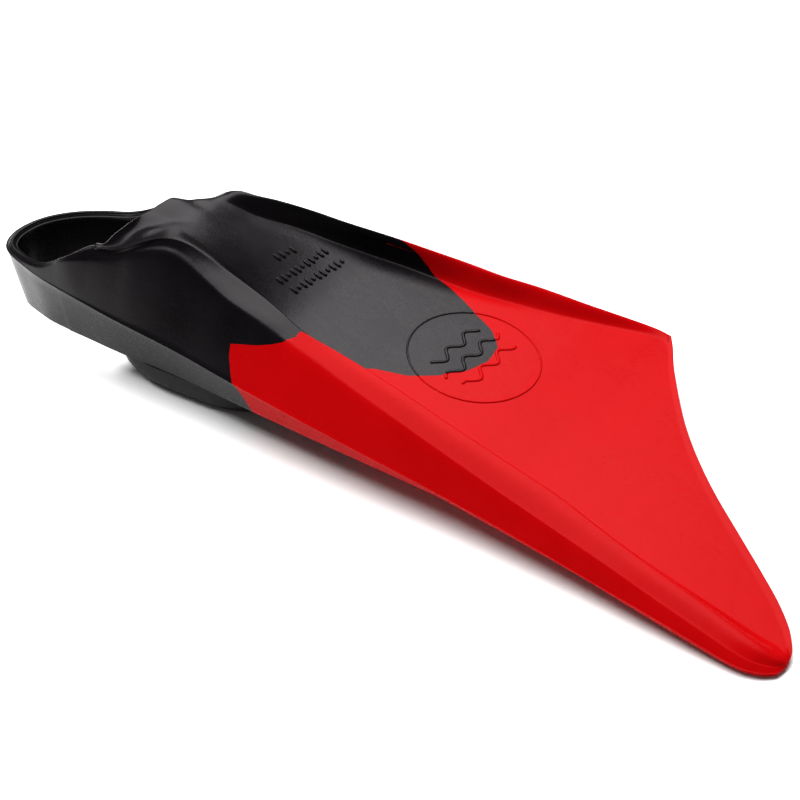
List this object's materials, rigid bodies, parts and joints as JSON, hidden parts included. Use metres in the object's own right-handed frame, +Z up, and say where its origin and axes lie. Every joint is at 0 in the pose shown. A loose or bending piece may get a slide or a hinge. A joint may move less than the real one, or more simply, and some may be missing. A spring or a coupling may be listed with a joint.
{
  "type": "bodyboarding swim fin",
  "caption": "Right-foot swim fin of moulded rubber with an open foot pocket, a heel band, two rails and a web that runs out to an offset tip.",
  "frame": {"origin": "under the middle of the bounding box, on the plane that the fin rests on", "axes": "+X from the heel to the blade's tip, +Y to the big-toe side, +Z up from the resting plane"},
  "size_m": [0.4271, 0.1686, 0.0816],
  "materials": {
    "black_rubber": "satin",
    "sole_rubber": "satin",
    "red_rubber": "satin"
  },
  "bodies": {
    "pocket": {"outer_pocket_wall": "black_rubber", "inner_pocket_wall": "black_rubber", "instep_bridge": "black_rubber", "footbed": "sole_rubber", "sole_pad": "sole_rubber", "toe_block": "black_rubber", "outer_rail_root": "red_rubber", "inner_rail_root": "red_rubber"},
    "blade": {"outer_rail": "red_rubber", "inner_rail": "red_rubber", "blade_web": "red_rubber", "web_tongue": "black_rubber"},
    "heel_band": {"heel_strap": "black_rubber"}
  },
  "joints": [
    {"name": "blade_flex", "type": "hinge", "parent": "pocket", "child": "blade", "pos_m": [-0.00815, 0, 0.029], "axis": [0, 1, 0], "range_deg": [-20, 20], "stiffness_Nm_per_rad": 20},
    {"name": "heel_flex", "type": "hinge", "parent": "pocket", "child": "heel_band", "pos_m": [-0.16257, 0, 0.03289], "axis": [0, 1, 0], "range_deg": [-10, 20], "stiffness_Nm_per_rad": 0.6}
  ]
}
